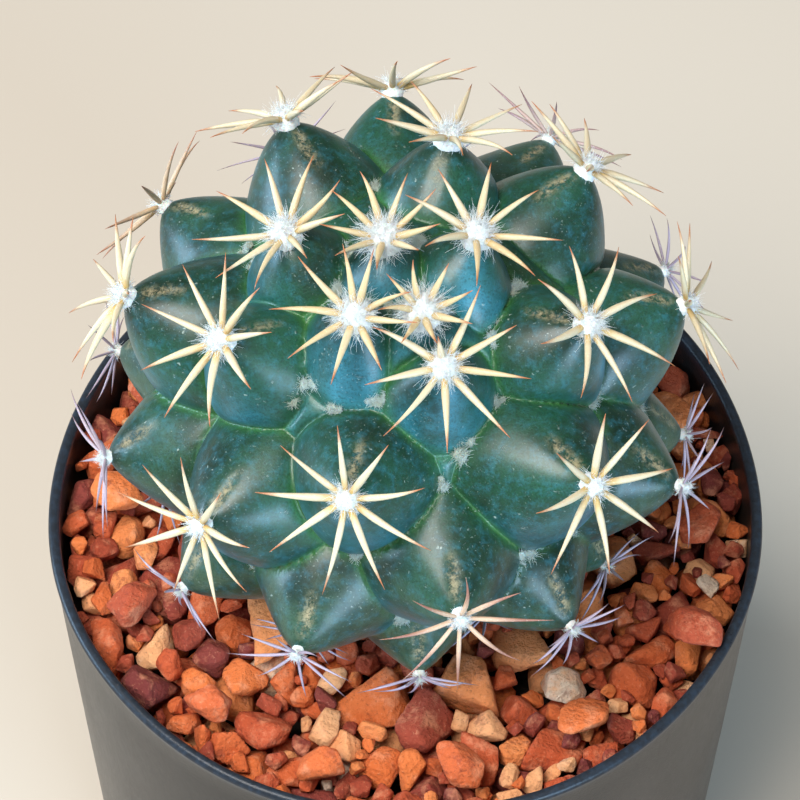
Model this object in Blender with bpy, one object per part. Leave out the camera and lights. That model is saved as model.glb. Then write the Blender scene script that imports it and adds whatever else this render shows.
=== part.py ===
"""Potted round cactus: a globe of tubercles with spine clusters, in a nursery pot topped with stones.

Frame: metres, +Z up, origin at the centre of the pot's base, -Y is the front of the plant.
"""
import math
import random

import bmesh
import bpy
import numpy as np
from mathutils import Matrix, Vector
from mathutils.bvhtree import BVHTree

MM = 0.001

# ---- driving dimensions: pot
POT_HEIGHT = 90 * MM
RIM_RADIUS = 50 * MM            # outside of the rim bead
BASE_RADIUS = 45.5 * MM         # outside of the wall at the foot
POT_WALL = 1.2 * MM
RIM_BEAD_RADIUS = 0.8 * MM      # the rolled edge is a little thicker than the wall
FOOT_WIDTH = 5 * MM             # flat ring that the pot stands on
FOOT_HEIGHT = 2.5 * MM          # recess under the floor
FLOOR_THICKNESS = 1.6 * MM
FOOT_ROUND = 1.2 * MM
DRAIN_HOLE_RADIUS = 3.5 * MM
DRAIN_HOLE_CIRCLE = 26 * MM
DRAIN_HOLES = 5
POT_SEGMENTS = 48

# ---- driving dimensions: soil and stones
HEADSPACE = 4.6 * MM            # rim down to the middle of the stone surface
GRAVEL_DEPTH = 12 * MM
GRAVEL_SLOPE = 0.02             # the stones lie higher on the left (-X) than on the right
GRAVEL_BUMP = 1.1 * MM
GRAVEL_RINGS = 7
GRAVEL_SEGMENTS = 48
LOOSE_STONES = 14
STONE_RADII = (4.6 * MM, 3.4 * MM, 2.6 * MM)    # half length, half width and half height
LOOSE_STONE_CIRCLE = 40.5 * MM
RIM_STONE_TURN = math.radians(-28)              # one stone lies on the rim, front right

# ---- driving dimensions: plant
GLOBE_CENTRE_ABOVE_RIM = 27.1 * MM
GLOBE_OFFSET = (-0.8 * MM, 1.5 * MM)
GLOBE_RADIUS = 40.6 * MM        # centre of the globe to the tips of the widest tubercles
CROWN_HEIGHT = 33.8 * MM        # centre of the globe up to the newest tubercles
SKIRT_DEPTH = 28 * MM           # centre of the globe down to the oldest tubercles
SHOULDER = 0.845                # below 1 makes the globe fuller than an ellipsoid
GLOBE_LEAN = (0.065, -0.057)    # rotation about X and Y, radians
TUBERCLES = 40
TURN = 2.4045                   # radians from one tubercle to the next older one
FIRST_TURN = -0.667
POLAR_START = -0.098            # polar angle: start + step * number ** power
POLAR_STEP = 0.1327
POLAR_POWER = 0.819
TUBERCLE_HEIGHT = 6 * MM        # tip to the crease halfway to its neighbours
OLD_TUBERCLE_HEIGHT = 7.5 * MM
TUBERCLE_STEEPNESS = 0.55       # most of that height over half the distance to its neighbours
TIP_ROUNDNESS = 1.75            # 2 is a round dome, 1 is a cone
OLD_TIP_ROUNDNESS = 1.35
FLANK_SHARE = 0.25              # how much shorter the flank towards the crown is than the outer one
FLANK_REACH = 1.6               # where a flank levels off, in half distances to its neighbours
NECK_RADIUS = 17 * MM
ROOT_DEPTH_IN_SOIL = 8 * MM

# ---- driving dimensions: spines
SPINE_LENGTH = 10.9 * MM
SPINE_WIDTH = 0.8 * MM
OLD_SPINE_LOSS = 0.36           # share of their length that the oldest spines have lost
SPINES_PER_CLUSTER = 9
CUSHION_RADIUS = 1.7 * MM
CUSHION_HEIGHT = 0.9 * MM
SPINE_RISE = math.radians(13)   # of a full-grown spine over the plane of its cushion
YOUNG_RISE = math.radians(38)   # added on the newest clusters
SPINE_BEND = math.radians(9)    # spines curve back towards the plant
SPINE_TWIST = math.radians(4)   # most that one spine turns aside for another

# ---- clearances
FIT_GAP = 0.3 * MM              # between pieces that touch
SPINE_CLEARANCE = 0.35 * MM     # between spines that cross

# Tubercles that stand off the regular spiral, as (right, back) of their place on it.
LEANS = {0: (4.5 * MM, -8.5 * MM), 2: (0, -2.5 * MM), 4: (0.5 * MM, -2.5 * MM), 5: (0.5 * MM, 2 * MM),
         7: (0, 1.5 * MM), 9: (1 * MM, 2 * MM), 12: (-1.5 * MM, 0), 13: (1.5 * MM, 0)}

RIM_HEIGHT = POT_HEIGHT
FLOOR_TOP = FOOT_HEIGHT + FLOOR_THICKNESS
GRAVEL_TOP = POT_HEIGHT - HEADSPACE
SOIL_TOP = GRAVEL_TOP - GRAVEL_DEPTH
ROOT_END = SOIL_TOP - ROOT_DEPTH_IN_SOIL
GLOBE_CENTRE = np.array((*GLOBE_OFFSET, RIM_HEIGHT + GLOBE_CENTRE_ABOVE_RIM))
WALL_TAPER = (RIM_RADIUS - RIM_BEAD_RADIUS * 0.25 - BASE_RADIUS) / POT_HEIGHT


# ---------------------------------------------------------------- helpers
def clear_scene():
    for thing in list(bpy.data.objects):
        bpy.data.objects.remove(thing, do_unlink=True)


def material(name, colour, roughness):
    made = bpy.data.materials.new(name)
    made.use_nodes = True
    shader = made.node_tree.nodes["Principled BSDF"]
    shader.inputs["Base Color"].default_value = (*colour, 1.0)
    shader.inputs["Roughness"].default_value = roughness
    shader.inputs["Metallic"].default_value = 0.0
    return made


def add_object(name, mesh_bm, surface, smooth=True):
    """Turn a bmesh into a named object with one material."""
    bmesh.ops.recalc_face_normals(mesh_bm, faces=mesh_bm.faces)
    if mesh_bm.calc_volume(signed=True) < 0:
        bmesh.ops.reverse_faces(mesh_bm, faces=mesh_bm.faces)
    mesh = bpy.data.meshes.new(name)
    mesh_bm.to_mesh(mesh)
    mesh_bm.free()
    if smooth:
        mesh.shade_smooth()
        mesh.set_sharp_from_angle(angle=math.radians(40))
    mesh.materials.append(surface)
    made = bpy.data.objects.new(name, mesh)
    bpy.context.scene.collection.objects.link(made)
    return made


def arc(centre, radius, start, end, steps):
    """Points (r, z) on an arc; the angles are in degrees."""
    points = []
    for step in range(steps + 1):
        angle = math.radians(start + (end - start) * step / steps)
        points.append((centre[0] + radius * math.cos(angle), centre[1] + radius * math.sin(angle)))
    return points


def turned(profile, segments):
    """Turn a profile of (r, z) points about Z; a first or last point with r = 0 closes the body."""
    made = bmesh.new()
    rings = []
    for radius, height in profile:
        if radius == 0:
            rings.append([made.verts.new((0, 0, height))])
            continue
        ring = []
        for step in range(segments):
            angle = 2 * math.pi * step / segments
            ring.append(made.verts.new((radius * math.cos(angle), radius * math.sin(angle), height)))
        rings.append(ring)
    for lower, upper in zip(rings, rings[1:]):
        for step in range(segments):
            after = (step + 1) % segments
            corners = [lower[step % len(lower)], lower[after % len(lower)],
                       upper[after % len(upper)], upper[step % len(upper)]]
            made.faces.new(list(dict.fromkeys(corners)))
    return made


def outer_radius(height):
    """Outside of the pot's wall at a height."""
    return BASE_RADIUS + WALL_TAPER * height


def inner_radius(height):
    """Inside of the pot's wall at a height."""
    return outer_radius(height) - POT_WALL


# ---------------------------------------------------------------- pot
def pot_profile():
    bead = (RIM_RADIUS - RIM_BEAD_RADIUS, POT_HEIGHT - RIM_BEAD_RADIUS)
    wall_end = POT_HEIGHT - 3 * RIM_BEAD_RADIUS
    corner = (BASE_RADIUS - FOOT_ROUND, FOOT_ROUND)
    profile = [(0, FOOT_HEIGHT), (BASE_RADIUS - FOOT_WIDTH, FOOT_HEIGHT), (BASE_RADIUS - FOOT_WIDTH, 0)]
    profile += arc(corner, FOOT_ROUND, -90, 0, 3)
    profile.append((outer_radius(wall_end), wall_end))
    profile += arc(bead, RIM_BEAD_RADIUS, -20, 180, 6)
    profile.append((inner_radius(wall_end), wall_end))
    profile += [(inner_radius(FLOOR_TOP), FLOOR_TOP), (0, FLOOR_TOP)]
    return profile


def make_pot(surface):
    pot = add_object("pot", turned(pot_profile(), POT_SEGMENTS), surface)
    cutters = bmesh.new()
    for number in range(DRAIN_HOLES):
        angle = 2 * math.pi * number / DRAIN_HOLES
        place = Matrix.Translation((DRAIN_HOLE_CIRCLE * math.cos(angle), DRAIN_HOLE_CIRCLE * math.sin(angle),
                                    FLOOR_TOP / 2))
        bmesh.ops.create_cone(cutters, cap_ends=True, segments=16, radius1=DRAIN_HOLE_RADIUS,
                              radius2=DRAIN_HOLE_RADIUS, depth=2 * FLOOR_TOP, matrix=place)
    cutter = add_object("drain_hole_cutter", cutters, surface)
    cutter.hide_render = True
    cutter.display_type = "WIRE"
    holes = pot.modifiers.new("drain_holes", "BOOLEAN")
    holes.operation = "DIFFERENCE"
    holes.object = cutter
    return pot


# ---------------------------------------------------------------- plant
def spiral_tips():
    """Places of the tubercles' tips from the globe's centre, newest first, on one spiral."""
    number = np.arange(TUBERCLES)
    polar = POLAR_START + POLAR_STEP * number ** POLAR_POWER
    turn = FIRST_TURN + TURN * number
    rise = np.cos(polar) * np.where(polar < math.pi / 2, CROWN_HEIGHT, SKIRT_DEPTH)
    reach = GLOBE_RADIUS * np.clip(np.sin(polar), 0, 1) ** SHOULDER
    tips = np.stack((reach * np.cos(turn), reach * np.sin(turn), rise), axis=1)
    for place, (right, back) in LEANS.items():
        tips[place] += (right, back, 0)
    lean = Matrix.Rotation(GLOBE_LEAN[1], 3, "Y") @ Matrix.Rotation(GLOBE_LEAN[0], 3, "X")
    return tips @ np.array(lean).T


class Globe:
    """The stem's surface as a distance from the globe's centre in each direction."""

    def __init__(self):
        self.tips = spiral_tips()
        self.reach = np.linalg.norm(self.tips, axis=1)
        self.axes = self.tips / self.reach[:, None]
        apart = np.arccos(np.clip(self.axes @ self.axes.T, -1, 1))
        self.half_gap = np.sort(apart, axis=1)[:, 1:5].mean(axis=1) / 2
        age = np.clip(np.arange(TUBERCLES) / TUBERCLES * 2 - 0.7, 0, 1)
        height = TUBERCLE_HEIGHT + (OLD_TUBERCLE_HEIGHT - TUBERCLE_HEIGHT) * age
        self.height = np.minimum(height, TUBERCLE_STEEPNESS * self.half_gap * self.reach)
        self.power = TIP_ROUNDNESS + (OLD_TIP_ROUNDNESS - TIP_ROUNDNESS) * age
        self.crownward = np.array([across(axis)[0] for axis in self.axes])

    def distance(self, directions):
        apart = np.arccos(np.clip(directions @ self.axes.T, -1, 1))
        towards_crown = directions @ self.crownward.T / np.maximum(np.sin(apart), 1e-6)
        near = apart / self.half_gap * (1 + FLANK_SHARE * towards_crown)
        near = near / (1 + (near / FLANK_REACH) ** 6) ** (1 / 6)
        domes = self.reach - self.height * near ** self.power
        down = np.clip(-directions[:, 2], 1e-6, 1)
        sideways = np.clip(np.hypot(directions[:, 0], directions[:, 1]), 1e-6, 1)
        root = np.minimum(NECK_RADIUS / sideways, (GLOBE_CENTRE[2] - ROOT_END) / down)
        return np.maximum(domes.max(axis=1), np.where(directions[:, 2] < 0, root, 0))

    def clearance(self, points):
        """Distance of points outside the stem, measured from the globe's centre."""
        offset = points - GLOBE_CENTRE
        length = np.linalg.norm(offset, axis=1)
        return length - self.distance(offset / length[:, None])


def make_stem(globe, surface):
    """One closed skin of tubercles that narrows to the root neck."""
    made = bmesh.new()
    bmesh.ops.create_icosphere(made, subdivisions=5, radius=1)
    made.verts.ensure_lookup_table()
    directions = np.array([vertex.co.normalized() for vertex in made.verts])
    for axis in globe.axes:
        directions[np.argmax(directions @ axis)] = axis
    places = GLOBE_CENTRE + directions * globe.distance(directions)[:, None]
    for vertex, place in zip(made.verts, places):
        vertex.co = place
    return add_object("cactus_stem", made, surface)


def widest_below(stem, height):
    """Largest distance from the globe's axis of any part of the stem lower than a height."""
    centre = Vector(GLOBE_CENTRE)
    widest = 0.0
    for edge in stem.data.edges:
        low, high = sorted((stem.data.vertices[index].co for index in edge.vertices), key=lambda co: co.z)
        if low.z >= height:
            continue
        if high.z > height:
            high = low.lerp(high, (height - low.z) / (high.z - low.z))
        widest = max(widest, (low - centre).xy.length, (high - centre).xy.length)
    return widest


# ---------------------------------------------------------------- spines
def across(axis):
    """Two unit vectors square to an axis; the first points up towards the crown."""
    up = np.array((0.0, 0.0, 1.0)) if abs(axis[2]) < 0.95 else np.array((0.0, 1.0, 0.0))
    crownward = up - axis * (up @ axis)
    crownward /= np.linalg.norm(crownward)
    return crownward, np.cross(axis, crownward)


def spine_points(seat, axis, around, rise, length, steps):
    """Points along one curved spine that leaves the side of its cushion."""
    crownward, sideways = across(axis)
    outward = math.cos(around) * crownward + math.sin(around) * sideways
    steep = math.cos(rise + SPINE_BEND) * outward + math.sin(rise + SPINE_BEND) * axis
    flat = math.cos(rise - SPINE_BEND) * outward + math.sin(rise - SPINE_BEND) * axis
    root = seat + outward * CUSHION_RADIUS + axis * (FIT_GAP + CUSHION_HEIGHT / 2)
    along = np.linspace(0, 1, steps + 1)[:, None]
    middle = root + steep * length / 2
    tip = middle + flat * length / 2
    return (1 - along) ** 2 * root + 2 * along * (1 - along) * middle + along ** 2 * tip


class SpinePlacer:
    """Raises, turns or shortens each spine until it clears the stem, the stones and other spines."""

    STEPS = 12

    def __init__(self, globe):
        self.globe = globe
        self.placed = np.empty((0, 3))
        self.thickness = SPINE_WIDTH / 2 * np.linspace(1, 0.15, self.STEPS + 1)

    def clear(self, points):
        outside = slice(3, None)
        if self.globe.clearance(points[outside]).min() < 2 * SPINE_WIDTH:
            return False
        if points[:, 2].min() < GRAVEL_TOP + 2 * GRAVEL_BUMP + SPINE_WIDTH:
            return False
        if np.hypot(points[:, 0], points[:, 1]).max() > RIM_RADIUS - SPINE_WIDTH:
            return False
        if len(self.placed) == 0:
            return True
        gaps = np.linalg.norm(points[:, None] - self.placed[None], axis=2)
        return bool((gaps.min(axis=1) > self.thickness + SPINE_WIDTH / 2 + SPINE_CLEARANCE).all())

    def place(self, seat, axis, around, rise, length):
        for share in (1.0, 0.9, 0.8, 0.68, 0.55, 0.42, 0.3, 0.2):
            for lift in (0, 5, 10, 16, 23, 31, 40, 50):
                for twist in (0, SPINE_TWIST, -SPINE_TWIST):
                    turned_to = around + twist
                    angle = rise + math.radians(lift)
                    points = spine_points(seat, axis, turned_to, angle, length * share, self.STEPS)
                    if self.clear(points):
                        return turned_to, angle, length * share, points
        share = 0.12
        return around, rise, length * share, spine_points(seat, axis, around, rise, length * share, self.STEPS)


def add_ring(made, centre, side, over, width, depth):
    corners = ((-1, -1), (1, -1), (1, 1), (-1, 1))
    return [made.verts.new(centre + side * u * width / 2 + over * v * depth / 2) for u, v in corners]


def add_spine(made, root, side, spine):
    """Extrude a root quad along a spine to its tip. The quad's corners run low, low, high, high."""
    middle = spine[len(spine) // 2]
    tip = spine[-1]
    forward = tip - spine[0]
    over = np.cross(forward, side)
    over /= np.linalg.norm(over)
    ring = add_ring(made, middle, side, over, SPINE_WIDTH * 0.8, SPINE_WIDTH * 0.7)
    point = made.verts.new(tip)
    for corner in range(4):
        after = (corner + 1) % 4
        made.faces.new((root[corner], root[after], ring[after], ring[corner]))
        made.faces.new((ring[corner], ring[after], point))


def make_cluster(number, seat, axis, spines, surface):
    """A low cushion with its spines drawn out of its side, as one closed body."""
    made = bmesh.new()
    crownward, sideways = across(axis)
    base_centre = seat + axis * FIT_GAP
    half_width = SPINE_WIDTH / 2 / CUSHION_RADIUS
    low, high = [], []
    for around, _ in spines:
        for angle in (around - half_width, around + half_width):
            outward = math.cos(angle) * crownward + math.sin(angle) * sideways
            low.append(made.verts.new(base_centre + outward * CUSHION_RADIUS + axis * CUSHION_HEIGHT * 0.1))
            high.append(made.verts.new(base_centre + outward * CUSHION_RADIUS + axis * CUSHION_HEIGHT))
    crown = made.verts.new(base_centre + axis * CUSHION_HEIGHT * 1.6)
    count = len(low)
    made.faces.new(list(reversed(low)))
    for index in range(count):
        after = (index + 1) % count
        made.faces.new((high[index], high[after], crown))
        if index % 2:
            made.faces.new((low[index], low[after], high[after], high[index]))
    for index, (around, points) in enumerate(spines):
        side = -math.sin(around) * crownward + math.cos(around) * sideways
        first, second = 2 * index, 2 * index + 1
        add_spine(made, (low[first], low[second], high[second], high[first]), side, points)
    return add_object(f"spine_cluster_{number + 1:02d}", made, surface)


def cluster_spines(number):
    """Count, length and rise of a cluster's spines, from how new it is."""
    newness = math.exp(-number / 2.2)
    oldness = min(1.0, max(0.0, (number - 17) / 8))
    count = SPINES_PER_CLUSTER - (1 if number % 5 == 3 else 0) - (1 if number == 0 else 0)
    length = SPINE_LENGTH * (1 - 0.3 * newness) * (1 - OLD_SPINE_LOSS * oldness)
    return count, length, SPINE_RISE + YOUNG_RISE * newness


def make_clusters(globe, surface):
    placer = SpinePlacer(globe)
    for number, (tip, axis) in enumerate(zip(globe.tips, globe.axes)):
        seat = GLOBE_CENTRE + tip
        count, length, rise = cluster_spines(number)
        spines = []
        for spine in range(count):
            around = 2 * math.pi * spine / count + number
            crownward_share = 0.5 + 0.5 * math.cos(around)
            own_length = length * (1 - 0.14 * crownward_share + 0.05 * math.sin(3 * spine + number))
            turned_to, _, _, points = placer.place(seat, axis, around, rise, own_length)
            spines.append((turned_to, points))
        placer.placed = np.vstack([placer.placed] + [points for _, points in spines])
        make_cluster(number, seat, axis, spines, surface)
    return placer.placed


# ---------------------------------------------------------------- soil and stones
def make_soil(stem, surface):
    hole = widest_below(stem, SOIL_TOP) + FIT_GAP
    bottom = FLOOR_TOP + FIT_GAP
    top = SOIL_TOP - FIT_GAP
    pocket = ROOT_END - FIT_GAP
    profile = [(0, bottom), (inner_radius(bottom) - FIT_GAP, bottom), (inner_radius(top) - FIT_GAP, top),
               (hole, top), (hole, pocket), (0, pocket)]
    made = turned(profile, POT_SEGMENTS)
    shift_pocket(made, pocket - FIT_GAP, hole)
    return add_object("potting_soil", made, surface)


def shift_pocket(made, lowest, hole):
    """Move the root's pocket from the pot's axis to the globe's axis."""
    for vertex in made.verts:
        if vertex.co.z > lowest and vertex.co.xy.length < hole + FIT_GAP:
            vertex.co.x += GLOBE_OFFSET[0]
            vertex.co.y += GLOBE_OFFSET[1]


def bed_height(x, y):
    """Top of the stone bed: a slight slope with rounded bumps a stone apart."""
    pitch = 2 * math.pi / (2.6 * STONE_RADII[0])
    bump = math.sin(pitch * x + 2 * math.sin(pitch * y / 3)) * math.sin(pitch * y + 2 * math.sin(pitch * x / 3))
    return GRAVEL_TOP - GRAVEL_SLOPE * x + GRAVEL_BUMP * bump


def make_gravel_bed(stem, surface):
    """Ring of crushed stone round the neck, with a bumpy top."""
    hole = widest_below(stem, GRAVEL_TOP + 3 * GRAVEL_BUMP) + FIT_GAP
    outside = inner_radius(SOIL_TOP) - FIT_GAP
    steps = [step / GRAVEL_RINGS for step in range(GRAVEL_RINGS + 1)]
    profile = [(hole, SOIL_TOP), (outside, SOIL_TOP)]
    profile += [(outside + (hole - outside) * step, GRAVEL_TOP) for step in steps]
    made = turned(profile, GRAVEL_SEGMENTS)
    close_ring(made, GRAVEL_SEGMENTS)
    shift_pocket(made, 0, hole)
    for vertex in made.verts:
        if vertex.co.z > SOIL_TOP + GRAVEL_DEPTH / 2:
            vertex.co.z = bed_height(vertex.co.x, vertex.co.y)
    return add_object("gravel_bed", made, surface)


def close_ring(made, segments):
    """Join the last ring of a turned profile to its first ring."""
    made.verts.ensure_lookup_table()
    first = made.verts[:segments]
    last = made.verts[-segments:]
    for step in range(segments):
        after = (step + 1) % segments
        made.faces.new((last[step], last[after], first[after], first[step]))


def chip(seed, turn, tilt):
    """One broken stone as a convex body of flat faces about the origin."""
    rng = random.Random(seed)
    made = bmesh.new()
    for _ in range(18):
        direction = Vector((rng.gauss(0, 1), rng.gauss(0, 1), rng.gauss(0, 1))).normalized()
        corner = Vector(tuple(part * radius for part, radius in zip(direction, STONE_RADII)))
        made.verts.new(corner * rng.uniform(0.9, 1.08))
    hull = bmesh.ops.convex_hull(made, input=made.verts)
    spare = {part for part in hull["geom_interior"] + hull["geom_unused"] if isinstance(part, bmesh.types.BMVert)}
    bmesh.ops.delete(made, geom=list(spare), context="VERTS")
    bmesh.ops.transform(made, matrix=Matrix.Rotation(turn, 4, "Z") @ Matrix.Rotation(tilt, 4, "Y"),
                        verts=made.verts)
    return made


def surface_points(made):
    """Points all over a body's faces, close together."""
    points = []
    for face in made.faces:
        a, b, c = (vertex.co for vertex in face.verts)
        for i in range(6):
            for j in range(6 - i):
                points.append(a + (b - a) * (i / 5) + (c - a) * (j / 5))
    return np.array(points)


def support_height(bed_tree, x, y):
    """Height of what a stone would rest on: the rim where it reaches over it, or the bed."""
    if math.hypot(x, y) > inner_radius(RIM_HEIGHT) - 2 * FIT_GAP:
        return RIM_HEIGHT
    hit = bed_tree.ray_cast(Vector((x, y, RIM_HEIGHT)), Vector((0, 0, -1)))
    return hit[0].z if hit[0] else GRAVEL_TOP


def make_loose_stones(bed, globe, spines, surface):
    """Separate stones on top of the bed, each let down until it rests on it."""
    mesh = bmesh.new()
    mesh.from_mesh(bed.data)
    bed_tree = BVHTree.FromBMesh(mesh)
    mesh.free()
    for number in range(LOOSE_STONES):
        on_rim = number == 0
        for attempt in range(40):
            turn = RIM_STONE_TURN + 2 * math.pi * number / LOOSE_STONES + 0.02 * attempt * (-1) ** attempt
            ring = LOOSE_STONE_CIRCLE + (0.12 if number % 2 else -0.02) * STONE_RADII[0]
            if on_rim:
                ring = inner_radius(RIM_HEIGHT) - 0.85 * STONE_RADII[0]
            stone = chip(number + 11, turn + (0 if on_rim else 1.1 * number), 0.22 if on_rim else 0.15)
            points = surface_points(stone) + (ring * math.cos(turn), ring * math.sin(turn), 0)
            lift = max(support_height(bed_tree, x, y) - z for x, y, z in points) + FIT_GAP
            points = points + (0, 0, lift)
            gap_to_spines = np.linalg.norm(points[:, None] - spines[None], axis=2).min()
            inside = np.hypot(points[:, 0], points[:, 1]).max() < RIM_RADIUS
            if inside and gap_to_spines > SPINE_WIDTH and globe.clearance(points).min() > 4 * FIT_GAP:
                break
            stone.free()
        else:
            raise RuntimeError(f"no room for loose stone {number + 1}")
        place = Matrix.Translation((ring * math.cos(turn), ring * math.sin(turn), lift))
        bmesh.ops.transform(stone, matrix=place, verts=stone.verts)
        add_object(f"loose_stone_{number + 1:02d}", stone, surface, smooth=False)


# ---------------------------------------------------------------- whole object
def main():
    clear_scene()
    plastic = material("pot_plastic", (0.018, 0.019, 0.021), 0.45)
    soil = material("potting_soil", (0.045, 0.028, 0.018), 0.95)
    stone = material("crushed_stone", (0.48, 0.13, 0.055), 0.85)
    skin = material("cactus_skin", (0.035, 0.14, 0.105), 0.5)
    spine = material("spine", (0.78, 0.66, 0.42), 0.45)

    globe = Globe()
    make_pot(plastic)
    stem = make_stem(globe, skin)
    make_soil(stem, soil)
    bed = make_gravel_bed(stem, stone)
    spines = make_clusters(globe, spine)
    make_loose_stones(bed, globe, spines, stone)


main()
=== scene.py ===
"""Potted round cactus: the visible plant, pot and stones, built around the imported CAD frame."""
import math

import bmesh
import bpy
import numpy as np
from bpy.props import FloatProperty, FloatVectorProperty, IntProperty, PointerProperty
from mathutils import Matrix, Vector, noise


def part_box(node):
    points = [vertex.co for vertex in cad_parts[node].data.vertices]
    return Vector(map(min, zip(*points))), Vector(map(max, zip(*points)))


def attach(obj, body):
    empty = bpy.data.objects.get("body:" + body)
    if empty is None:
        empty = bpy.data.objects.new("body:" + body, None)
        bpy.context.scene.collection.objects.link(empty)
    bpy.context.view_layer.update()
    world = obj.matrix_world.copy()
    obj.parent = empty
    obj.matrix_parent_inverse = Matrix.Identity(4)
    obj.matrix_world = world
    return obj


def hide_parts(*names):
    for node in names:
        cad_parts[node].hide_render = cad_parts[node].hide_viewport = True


bl_info = {
    "name": "Potted Round Cactus",
    "version": (1, 0, 0),
    "blender": (4, 5, 0),
    "location": "View3D > Sidebar > Cactus",
    "description": "Builds a round tubercled cactus in a nursery pot topped with crushed stone",
    "category": "Add Mesh",
}

MM = 0.001

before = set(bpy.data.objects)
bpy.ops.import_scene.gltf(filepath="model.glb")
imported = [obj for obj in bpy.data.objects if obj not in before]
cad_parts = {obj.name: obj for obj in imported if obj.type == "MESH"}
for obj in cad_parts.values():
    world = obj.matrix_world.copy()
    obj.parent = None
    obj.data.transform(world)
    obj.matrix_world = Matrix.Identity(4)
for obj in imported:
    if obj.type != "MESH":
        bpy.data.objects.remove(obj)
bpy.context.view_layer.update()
POT_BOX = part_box("pot")
SOIL_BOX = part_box("potting_soil")
RIM_HEIGHT = POT_BOX[1].z
CLUSTER_NAMES = sorted(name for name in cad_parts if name.startswith("spine_cluster_"))
LOOSE_STONE_NAMES = sorted(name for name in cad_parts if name.startswith("loose_stone_"))


# ---------------------------------------------------------------- vectors
def unit(vectors):
    """The same directions at length 1, for one vector or a row of them."""
    return vectors / np.maximum(np.linalg.norm(vectors, axis=-1, keepdims=True), 1e-12)


def smooth_step(low, high, values):
    """0 below low, 1 above high and a smooth rise between."""
    share = np.clip((values - low) / (high - low), 0, 1)
    return share * share * (3 - 2 * share)


def lumps(points, size, seed=0.0):
    """Smooth noise between -1 and 1 at the points; size is the width of a lump."""
    shift = Vector((seed, 1.7 * seed, -seed))
    return np.array([noise.noise(Vector(point) / size + shift) for point in points])


def sphere(subdivisions):
    """Directions spread over a sphere, and the triangles between them."""
    mesh_bm = bmesh.new()
    bmesh.ops.create_icosphere(mesh_bm, subdivisions=subdivisions, radius=1)
    directions = unit(np.array([vert.co[:] for vert in mesh_bm.verts]))
    faces = np.array([[vert.index for vert in face.verts] for face in mesh_bm.faces])
    mesh_bm.free()
    return directions, faces


# ---------------------------------------------------------------- reading the frame
def node_mesh(name):
    """Corners and faces of a CAD node, with the doubled corners joined."""
    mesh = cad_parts[name].data
    corners = np.array([vert.co[:] for vert in mesh.vertices])
    keys = np.round(corners / (0.001 * MM)).astype(np.int64)
    _, first, joined = np.unique(keys, axis=0, return_index=True, return_inverse=True)
    joined = joined.reshape(-1)
    faces = [tuple(int(joined[index]) for index in face.vertices) for face in mesh.polygons]
    return corners[first], faces


def neighbours(faces, count):
    """For each corner, the set of corners it shares an edge with."""
    linked = [set() for _ in range(count)]
    for face in faces:
        for index, corner in enumerate(face):
            linked[corner].add(face[index - 1])
            linked[face[index - 1]].add(corner)
    return linked


class Cluster:
    """A spine cluster of the frame: where it sits, which way it faces, and its spines as curves."""

    def __init__(self, name):
        self.name = name
        self.corners, faces = node_mesh(name)
        self.linked = neighbours(faces, len(self.corners))
        top = max(range(len(self.corners)), key=lambda corner: len(self.linked[corner]))
        self.top = self.corners[top]
        self.axis = unit(self.top - self.corners[sorted(self.linked[top])].mean(axis=0))
        self.spines = [self.spine(corner) for corner in self.tips()]

    def tips(self):
        """Corners that lie further from the cushion than every corner beside them."""
        reach = np.linalg.norm(self.corners - self.top, axis=1)
        return [corner for corner, beside in enumerate(self.linked)
                if reach[corner] > 3 * MM and all(reach[corner] > reach[other] for other in beside)]

    def spine(self, tip):
        """Start, bend handle and tip of the curve down the middle of a spine."""
        middle_ring = self.linked[tip]
        root_ring = set().union(*(self.linked[corner] for corner in middle_ring)) - middle_ring - {tip}
        root, middle = (self.corners[sorted(ring)].mean(axis=0) for ring in (root_ring, middle_ring))
        handle = 2 * middle - (root + self.corners[tip]) / 2
        return root, handle, self.corners[tip]


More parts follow.
